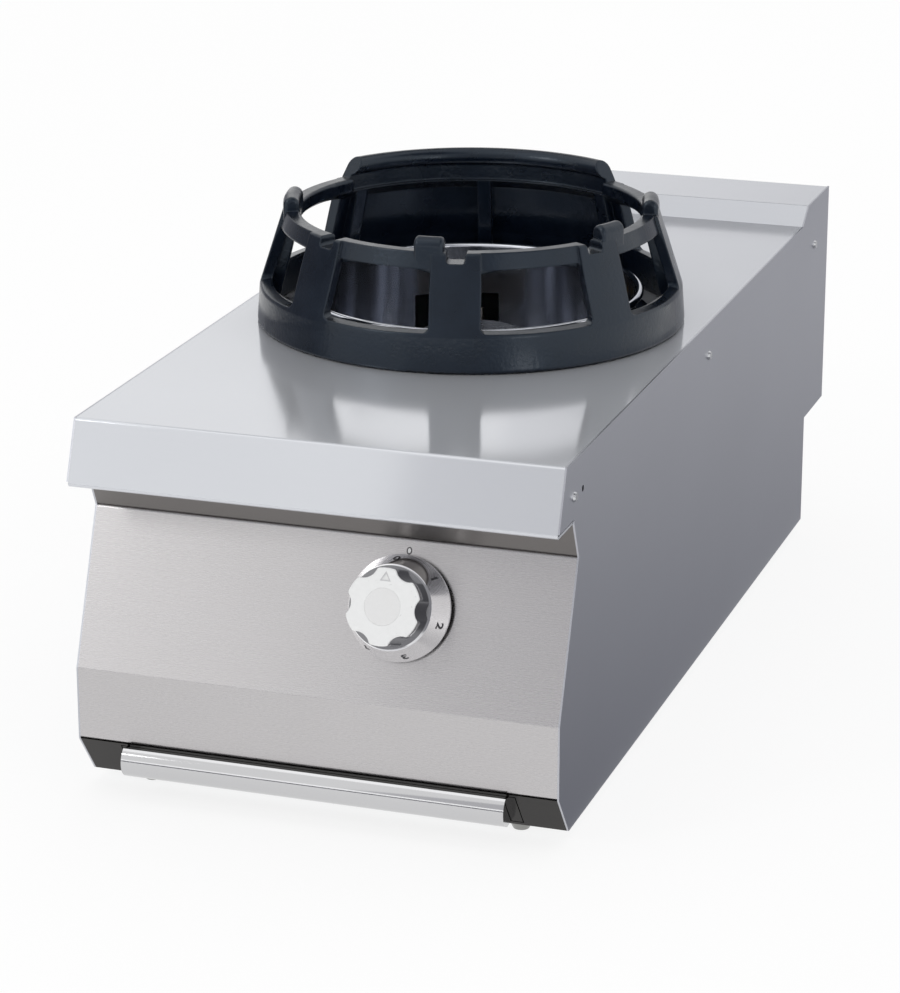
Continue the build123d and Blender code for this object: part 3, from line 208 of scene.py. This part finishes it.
# ---------------------------------------------------------------------------
# Finishes of the CAD nodes
# ---------------------------------------------------------------------------

# Colour, roughness, grain axis, way its highlights are drawn out, share of metal
sheets = {
    "worktop_steel": ((0.645, 0.66, 0.695), 0.11, "X", (0, 1, 0), 0.55),
    "side_steel": ((0.52, 0.53, 0.57), 0.32, "Y", (0, 0, 1)),
    "front_steel": ((0.55, 0.535, 0.54), 0.27, "X", (0, 0.36, 0.93)),
    "handle_steel": ((0.60, 0.60, 0.61), 0.08, "X", (0, 0.3, 0.95)),
    # Painted shade: the crossbar under the apron is a darker copy of the sheet steel, for the shade
    # it lies in
    "crossbar_steel": ((0.20, 0.19, 0.185), 0.34, "X", (0, 0, 1)),
    # Painted shade: the kick panel and tray front are near black for the shade under the range that
    # they mirror
    "kick_steel_painted_shade": ((0.036, 0.034, 0.033), 0.30, "X", (0, -0.6, 0.8)),
    "well_steel": ((0.66, 0.68, 0.73), 0.11, "Z", (0, 0, 1)),
    "tray_steel": ((0.62, 0.62, 0.62), 0.35, "Y"),
}
# Colour, roughness, contrast, fineness and depth of its grain, share of metal
metals = {
    "zinc_steel": ((0.60, 0.62, 0.64), 0.38, 0.08, 60.0),
    # Painted shade: the feet are zinc darkened for the shade under the range
    "foot_zinc_painted_shade": ((0.30, 0.30, 0.29), 0.22, 0.08, 60.0),
    "zinc_screw": ((0.66, 0.67, 0.68), 0.28),
    "pipe_steel": ((0.56, 0.57, 0.58), 0.32),
    "probe_steel": ((0.50, 0.46, 0.42), 0.35),
    "raw_iron": ((0.14, 0.13, 0.125), 0.62, 0.15, 120.0, 0.0002),
    "brass": ((0.72, 0.54, 0.28), 0.28),
    "copper": ((0.72, 0.40, 0.27), 0.30),
    "knob_chrome": ((0.95, 0.95, 0.96), 0.05, 0.02, 60.0, 0.00001),
    # Painted reflection: the knob's grip is chrome darkened to stand for the dark surroundings it
    # mirrors
    "grip_chrome_painted_reflection": ((0.26, 0.26, 0.27), 0.08, 0.02, 60.0, 0.00001),
    "knob_silver": ((0.78, 0.785, 0.785), 0.32, 0.01, 300.0, 0.000004, 0.2),
    "knob_disc_silver": ((0.72, 0.72, 0.72), 0.4, 0.01, 400.0, 0.000004, 0.2),
}
finishes = {name: steel(name, *values) for name, values in sheets.items()}
finishes.update({name: plain_metal(name, *values) for name, values in metals.items()})
finishes["ring_enamel"] = enamel("ring_enamel", (0.0015, 0.0035, 0.009), 0.30)

# A node has the finish of its slot, apart from these, which look unlike the rest of theirs: darker
# copies that paint in shade (kick panel, tray front, feet) and a painted dark reflection (knob grip)
own_finish = {"kick_panel": "kick_steel_painted_shade", "tray_front": "kick_steel_painted_shade", "knob_grip": "grip_chrome_painted_reflection"}
for end in ("front", "rear"):
    for side in ("left", "right"):
        own_finish[f"foot_{end}_{side}"] = "foot_zinc_painted_shade"
slot_of = {entry["node"]: entry["material_slot"] for entry in frame["record"]["subparts"]}
for name, node in nodes.items():
    node.data.materials.clear()
    node.data.materials.append(finishes[own_finish.get(name, slot_of[name])])

# ---------------------------------------------------------------------------
# Dial: numbers on the knob's skirt, a pointer on its face and a zero on the panel
# ---------------------------------------------------------------------------

disc_low, disc_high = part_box("knob_disc")
panel_slope = math.atan2(46.5, 122.1)  # the panel's depth over its height
disc_reach = 0.0473  # from the panel to the middle of the knob's disc
knob_right = Vector((1, 0, 0))
knob_up = Vector((0, math.sin(panel_slope), math.cos(panel_slope)))
knob_out = Vector((0, -math.cos(panel_slope), math.sin(panel_slope)))
knob_foot = (Vector(disc_low) + Vector(disc_high)) / 2 - knob_out * disc_reach

skirt_foot_radius, skirt_top_radius = 0.0415, 0.0334
skirt_foot, skirt_top = 0.0075, 0.0286  # from the panel
print_lift = 0.00008  # of the numbers off the skirt

black_ink = ink("dial_ink", (0.035, 0.035, 0.04))
white_ink = ink("pale_ink", (0.98, 0.98, 0.98))
grey_ink = ink("grey_ink", (0.54, 0.54, 0.55))


def on_dial(across, up, out):
    """A point by its way from the knob's foot: to the right, up the panel and outwards."""
    return knob_foot + knob_right * across + knob_up * up + knob_out * out


def on_skirt(angle, climb):
    """A point just off the skirt's cone: angle from the right, and way up its slope."""
    run = skirt_foot_radius - skirt_top_radius
    rise = skirt_top - skirt_foot
    slant = math.hypot(run, rise)
    radius = skirt_foot_radius - run * climb / slant + print_lift * rise / slant
    out = skirt_foot + rise * climb / slant + print_lift * run / slant
    return on_dial(radius * math.cos(angle), radius * math.sin(angle), out)


def mark(name, points, faces, material, body):
    """A flat printed mark that rides on a body."""
    mesh = bpy.data.meshes.new(name)
    mesh.from_pydata([tuple(point) for point in points], [], faces)
    mesh.update()
    mesh.materials.append(material)
    piece = add_object(name, mesh)
    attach(piece, body)


number_size, stroke_swell = 0.0112, 0.00035  # the swell makes its strokes bolder
number_climb, number_radius = 0.0095, 0.0378  # where its middle lies on the skirt


def number(text, degrees):
    """A number laid on the skirt, its head outwards."""
    curve = bpy.data.curves.new(f"numeral_{text}", "FONT")
    curve.body = text
    curve.size = number_size
    curve.offset = stroke_swell
    curve.align_x = "CENTER"
    curve.align_y = "CENTER"
    glyph = add_object(f"glyph_{text}", curve)
    depsgraph = bpy.context.evaluated_depsgraph_get()
    shape = bpy.data.meshes.new_from_object(glyph.evaluated_get(depsgraph))
    bpy.data.objects.remove(glyph)
    middle = math.radians(degrees)
    points = []
    for vertex in shape.vertices:
        angle = middle - vertex.co.x / number_radius
        points.append(on_skirt(angle, number_climb - vertex.co.y))
    faces = [tuple(polygon.vertices) for polygon in shape.polygons]
    mark(f"dial_number_{text}", points, faces, black_ink, "knob")


for text, degrees in (("0", 95), ("1", 42), ("2", -15), ("3", -72), ("4", -120)):
    number(text, degrees)

# The pointer is a triangle's outline on the knob's face
pointer_up, pointer_out = 0.0222, 0.04786
pointer_corners = []
for size in (0.0052, 0.0034):
    for degrees in (90, 210, 330):
        angle = math.radians(degrees)
        across, up = size * math.cos(angle), size * math.sin(angle)
        pointer_corners.append(on_dial(across, pointer_up + up, pointer_out))
pointer_sides = [(0, 1, 4, 3), (1, 2, 5, 4), (2, 0, 3, 5)]
mark("dial_pointer", pointer_corners, pointer_sides, grey_ink, "knob")

# The zero on the panel is an oval outline with a white middle
zero_across, zero_up, zero_lift = 0.0008, 0.0448, 0.00012
zero_steps = 24
zero_points = []
for half_width, half_height in ((0.0022, 0.0029), (0.0013, 0.0020)):
    for step in range(zero_steps):
        angle = 2 * math.pi * step / zero_steps
        across = zero_across + half_width * math.cos(angle)
        up = zero_up + half_height * math.sin(angle)
        zero_points.append(on_dial(across, up, zero_lift))
zero_outline = []
for step in range(zero_steps):
    following = (step + 1) % zero_steps
    zero_outline.append((step, following, zero_steps + following, zero_steps + step))
zero_middle = [tuple(range(zero_steps, 2 * zero_steps))]
mark("dial_mark_rim", zero_points, zero_outline, black_ink, "cabinet")
mark("dial_mark", zero_points, zero_middle, white_ink, "cabinet")

# ---------------------------------------------------------------------------
# Floor, world, cards and lamps
# ---------------------------------------------------------------------------

one_face = [(0, 1, 2, 3)]


def level(x, y, z):
    """Corners of a level rectangle over two ranges."""
    return [(x[0], y[0], z), (x[1], y[0], z), (x[1], y[1], z), (x[0], y[1], z)]


def facing_front(x, y, z):
    """Corners of an upright rectangle along X."""
    return [(x[0], y, z[0]), (x[1], y, z[0]), (x[1], y, z[1]), (x[0], y, z[1])]


def facing_side(x, y, z):
    """Corners of an upright rectangle along Y."""
    return [(x, y[0], z[0]), (x, y[1], z[0]), (x, y[1], z[1]), (x, y[0], z[1])]


def seen_share(tree, share=1.0):
    """The given share for camera, glossy and transmission rays, nothing for the others."""
    path = tree.nodes.new("ShaderNodeLightPath")
    total = path.outputs["Is Camera Ray"]
    for ray in ("Is Glossy Ray", "Is Transmission Ray"):
        add = tree.nodes.new("ShaderNodeMath")
        add.operation = "ADD"
        tree.links.new(total, add.inputs[0])
        tree.links.new(path.outputs[ray], add.inputs[1])
        total = add.outputs[0]
    scaled = tree.nodes.new("ShaderNodeMath")
    scaled.operation = "MULTIPLY"
    scaled.use_clamp = True
    scaled.inputs[1].default_value = share
    tree.links.new(total, scaled.inputs[0])
    return scaled.outputs[0]


floor_half = 12.0
floor_color = (0.95, 0.95, 0.95, 1)
floor_roughness = 0.8
floor_white = 0.83  # the share that is plain white, which leaves the shadow faint


def add_floor():
    """A pale floor that shows the object's shadow faintly."""
    mesh = bpy.data.meshes.new("floor")
    mesh.from_pydata(level((-floor_half, floor_half), (-floor_half, floor_half), 0), [], one_face)
    plane = add_object("floor", mesh)
    material, tree, shader = new_material("floor")
    set_inputs(shader, {"Base Color": floor_color, "Roughness": floor_roughness})
    glow = tree.nodes.new("ShaderNodeEmission")
    set_inputs(glow, {"Strength": 1.0})
    mix = tree.nodes.new("ShaderNodeMixShader")
    output = next(node for node in tree.nodes if node.type == "OUTPUT_MATERIAL")
    tree.links.new(seen_share(tree, floor_white), mix.inputs["Fac"])
    tree.links.new(shader.outputs["BSDF"], mix.inputs[1])
    tree.links.new(glow.outputs["Emission"], mix.inputs[2])
    tree.links.new(mix.outputs["Shader"], output.inputs["Surface"])
    mesh.materials.append(material)


def add_world(soft_strength, seen_strength):
    """White to the camera and in reflections, soft even light elsewhere."""
    world = bpy.data.worlds.new("studio")
    world.use_nodes = True
    tree = world.node_tree
    tree.nodes.clear()
    output = tree.nodes.new("ShaderNodeOutputWorld")
    mix = tree.nodes.new("ShaderNodeMixShader")
    tree.links.new(seen_share(tree), mix.inputs["Fac"])
    for place, strength in ((1, soft_strength), (2, seen_strength)):
        light = tree.nodes.new("ShaderNodeBackground")
        set_inputs(light, {"Color": (1, 1, 1, 1), "Strength": strength})
        tree.links.new(light.outputs["Background"], mix.inputs[place])
    tree.links.new(mix.outputs["Shader"], output.inputs["Surface"])
    scene.world = world


def card(name, corners, first, last, axis="X", strength=1.0):
    """A studio card that only reflections show, its tone changing along an axis."""
    mesh = bpy.data.meshes.new(name)
    mesh.from_pydata(corners, [], one_face)
    sheet = add_object(name, mesh)
    material, tree, shader = new_material(name)
    coords = tree.nodes.new("ShaderNodeTexCoord")
    split = tree.nodes.new("ShaderNodeSeparateXYZ")
    tree.links.new(coords.outputs["Generated"], split.inputs["Vector"])
    shade = ramp(tree, split.outputs[axis], first, last, 0.0, 1.0)
    tree.links.new(shade, shader.inputs["Emission Color"])
    set_inputs(shader, {"Base Color": (0, 0, 0, 1), "Specular IOR Level": 0.0})
    set_inputs(shader, {"Emission Strength": strength})
    mesh.materials.append(material)
    sheet.visible_camera = False
    sheet.visible_diffuse = False
    sheet.visible_transmission = False
    sheet.visible_shadow = False


def softbox(name, place, aim, size, power):
    """A rectangular lamp at a place, turned to face a point."""
    lamp = bpy.data.lights.new(name, "AREA")
    lamp.shape = "RECTANGLE"
    lamp.size, lamp.size_y = size
    lamp.energy = power
    holder = add_object(name, lamp)
    holder.location = place
    holder.rotation_mode = "QUATERNION"
    holder.rotation_quaternion = (Vector(aim) - Vector(place)).to_track_quat("-Z", "Y")


add_floor()
add_world(soft_strength=0.95, seen_strength=1.0)

black, dark, dim = (0.05, 0.05, 0.06), (0.15, 0.155, 0.18), (0.34, 0.345, 0.38)
low_grey, grey, soft_grey = (0.42, 0.42, 0.45), (0.56, 0.56, 0.58), (0.66, 0.66, 0.68)
pale, white = (0.86, 0.86, 0.87), (1.0, 1.0, 1.0)
ceiling = 2.7

# What the right side mirrors
card("side_mat", level((0.203, 0.8), (-0.6, 1.7), 0.002), dark, grey, "Y")
card("side_card", facing_front((0.40, 1.6), 1.7, (0, 1.2)), dim, grey, "Z")
# What the worktop mirrors
card("left_card", facing_side(-1.5, (-0.9, 2.2), (0.02, 1.1)), dark, dim, "Y")
card("back_card", facing_front((-0.9, 0.9), 2.9, (0, 2.6)), pale, dim)
# What the apron and the panel mirror on the right
card("front_card", facing_front((-0.64, 1.6), -2.4, (0.35, 2.2)), soft_grey, low_grey)
# The dark line and the two bright ones along the pull
card("low_card", facing_front((-1.6, 0.5), -1.5, (0.01, 0.12)), dark, dark)
card("low_strip", facing_front((-1.6, 0.5), -1.5, (0.12, 0.26)), white, white, strength=1.5)
card("top_strip", level((-1.6, -0.3), (-1.5, -0.5), ceiling), white, white, strength=1.4)
# The dark band along the upstand's foot
card("far_card", level((-1.6, 0.3), (1.5, 3.0), ceiling), black, black)
# The rest of the ceiling
card("dark_card", level((0.6, 2.2), (-2.2, 0.2), ceiling), dark, dark)
card("top_card", level((-1.2, 0.6), (-0.4, 1.3), ceiling), pale, pale, "Y")

softbox("key", (-1.9, -2.6, 2.2), (0, 0, 0.25), (0.8, 0.8), 11)
softbox("fill", (2.1, -2.1, 0.6), (0, -0.2, 0.25), (0.5, 0.5), 2.5)
softbox("top", (-0.4, 0.4, 3.0), (0, 0.1, 0.3), (1.6, 1.4), 3)

# ---------------------------------------------------------------------------
# Camera, fitted to the photograph's corners
# ---------------------------------------------------------------------------

photo_height, focal_length = 993, 3485.7  # pixels
sensor_width = 36.0
camera_place = (0.8999, -2.7802, 1.1111)
yaw, pitch = math.radians(18.543), math.radians(18.503)  # to the left, down

lens = bpy.data.cameras.new("camera")
lens.sensor_width = sensor_width
lens.lens = focal_length / photo_height * sensor_width
lens.clip_start, lens.clip_end = 0.1, 60.0
look = Vector(
    (-math.sin(yaw) * math.cos(pitch), math.cos(yaw) * math.cos(pitch), -math.sin(pitch))
)
right = Vector((math.cos(yaw), math.sin(yaw), 0))
turn = Matrix((right, right.cross(look), -look)).transposed().to_4x4()
camera = add_object("camera", lens)
camera.matrix_world = Matrix.Translation(camera_place) @ turn
scene.camera = camera
scene.view_settings.view_transform = "Standard"
